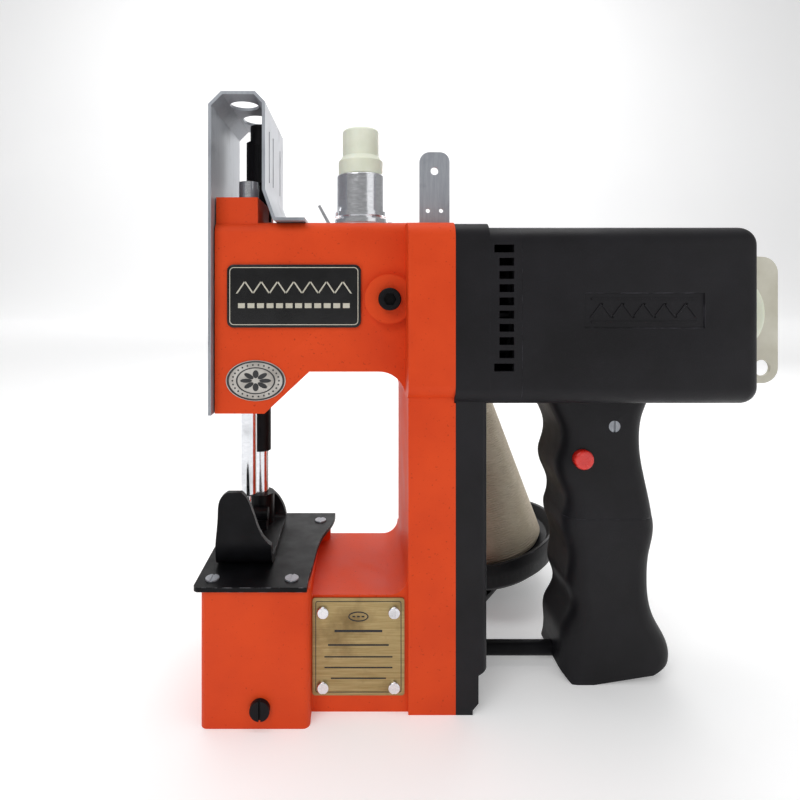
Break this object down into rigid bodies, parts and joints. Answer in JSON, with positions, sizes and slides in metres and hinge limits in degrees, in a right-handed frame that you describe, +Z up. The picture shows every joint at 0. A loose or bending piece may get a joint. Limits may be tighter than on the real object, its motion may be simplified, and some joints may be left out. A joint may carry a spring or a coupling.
{
  "type": "bag closer sewing machine",
  "caption": "Hand-held bag closer with a C-shaped orange head over a stitching throat, a black motor, pistol grip and thread cone.",
  "frame": {"origin": "on the base face, under the needle bar, in the middle plane of head and motor", "axes": "+X from the needle towards the motor and grip, +Y from the operator's side to the back, +Z up"},
  "size_m": [0.2946, 0.1727, 0.2727],
  "materials": {
    "orange_paint": "semi-gloss orange paint",
    "black_plastic": "fine satin black moulding",
    "black_steel": "black oxide",
    "zinc": "zinc plated",
    "cream_zinc": "off-white lacquer",
    "chrome": "polished",
    "steel": "machined",
    "bronze": "sintered bronze",
    "name_plate": "satin brass",
    "label_black": "gloss black",
    "badge_silver": "silver film",
    "cream_nylon": "cream nylon",
    "red_button": "gloss red",
    "thread": "wound sewing thread",
    "card": "pressed card",
    "copper": "enamelled copper",
    "carbon": "graphite",
    "belt_rubber": "black rubber"
  },
  "bodies": {
    "frame": {"base_cover": "zinc", "belt_cover": "black_plastic", "black_screws": "black_steel", "brace_rod": "black_steel", "brush_holders": "bronze", "cable_gland": "black_plastic", "carbon_brushes": "carbon", "face_cover": "zinc", "fan_shroud": "black_plastic", "field_coils": "copper", "frame_casting": "orange_paint", "handle_lower": "black_plastic", "hanger_plate": "cream_zinc", "label_plate": "label_black", "motor_bearings": "steel", "motor_housing": "black_plastic", "name_plate": "name_plate", "name_plate_screws": "chrome", "needle_bar_bushes": "chrome", "oval_badge": "badge_silver", "presser_bar_bushes": "black_steel", "presser_spring": "steel", "shaft_bushes": "bronze", "spool_bracket": "black_steel", "spool_pin": "zinc", "spool_tray": "black_plastic", "stator_core": "steel", "switch_body": "black_plastic", "tension_collar": "chrome", "tension_plate": "chrome", "tension_spring": "steel", "tension_stud": "chrome", "thread_guide_strip": "zinc", "throat_plate": "black_steel", "timing_belt": "belt_rubber", "zinc_screws": "zinc"},
    "armature": {"armature_shaft": "steel", "cooling_fan": "black_plastic", "armature_core": "steel", "commutator": "copper", "handwheel": "cream_nylon"},
    "main_drive": {"main_shaft": "steel", "main_gear": "steel", "upper_pulley": "steel", "crank_disc": "steel"},
    "lower_drive": {"lower_shaft": "steel", "lower_pulley": "steel"},
    "needle_set": {"needle_bar": "chrome", "needle_yoke": "steel", "needle": "chrome"},
    "looper_arm": {"looper": "steel"},
    "feeder": {"feed_dog": "steel"},
    "presser": {"presser_bar": "chrome", "presser_foot": "black_steel"},
    "lifter": {"lifter_lever": "black_steel"},
    "pressure_nut": {"presser_regulator": "black_plastic"},
    "switch_button": {"power_button": "red_button"},
    "tension_dial": {"tension_knob": "cream_nylon"},
    "thread_package": {"thread_cone": "thread", "cone_core": "card"}
  },
  "joints": [
    {"name": "armature_spin", "type": "hinge", "parent": "frame", "child": "armature", "pos_m": [0.16, 0, 0.1729], "axis": [1, 0, 0], "continuous": true},
    {"name": "main_shaft_spin", "type": "hinge", "parent": "frame", "child": "main_drive", "pos_m": [0.05, 0, 0.1909], "axis": [1, 0, 0], "continuous": true},
    {"name": "lower_shaft_spin", "type": "hinge", "parent": "frame", "child": "lower_drive", "pos_m": [0.05, 0, 0.028], "axis": [1, 0, 0], "continuous": true},
    {"name": "needle_bar_stroke", "type": "slide", "parent": "frame", "child": "needle_set", "axis": [0, 0, 1], "range_m": [0, 0.024]},
    {"name": "looper_rock", "type": "hinge", "parent": "frame", "child": "looper_arm", "pos_m": [0.02, 0.013, 0.037], "axis": [1, 0, 0], "range_deg": [0, 12.5]},
    {"name": "feed_dog_travel", "type": "slide", "parent": "frame", "child": "feeder", "axis": [0, 1, 0], "range_m": [0, 0.006]},
    {"name": "lifter_turn", "type": "hinge", "parent": "frame", "child": "lifter", "pos_m": [0.01, 0.028, 0.156], "axis": [0, -1, 0], "range_deg": [0, 60]},
    {"name": "presser_lift", "type": "slide", "parent": "frame", "child": "presser", "axis": [0, 0, 1], "range_m": [0, 0.0081], "deforming": ["presser_spring"]},
    {"name": "pressure_nut_turn", "type": "hinge", "parent": "frame", "child": "pressure_nut", "pos_m": [0.0024, 0.012, 0.25], "axis": [0, 0, 1], "range_deg": [-180, 180]},
    {"name": "power_button_press", "type": "slide", "parent": "frame", "child": "switch_button", "axis": [0, 1, 0], "range_m": [0, 0.003], "stiffness_N_per_m": 300},
    {"name": "tension_dial_turn", "type": "hinge", "parent": "frame", "child": "tension_dial", "pos_m": [0.0542, -0.005, 0.25], "axis": [0, 0, 1], "range_deg": [-180, 180]},
    {"name": "thread_cone_lift", "type": "slide", "parent": "frame", "child": "thread_package", "axis": [-0.225, 0, 0.9744], "range_m": [0, 0.12]}
  ],
  "couplings": [
    {"joint": "main_shaft_spin", "follows": "armature_spin", "ratio": -0.25},
    {"joint": "lower_shaft_spin", "follows": "armature_spin", "ratio": -0.25},
    {"joint": "looper_rock", "follows": "needle_bar_stroke", "rad_per_m": 8.7266},
    {"joint": "feed_dog_travel", "follows": "needle_bar_stroke", "ratio": 0.25},
    {"joint": "presser_lift", "follows": "lifter_turn", "m_per_rad": 0.007639}
  ]
}
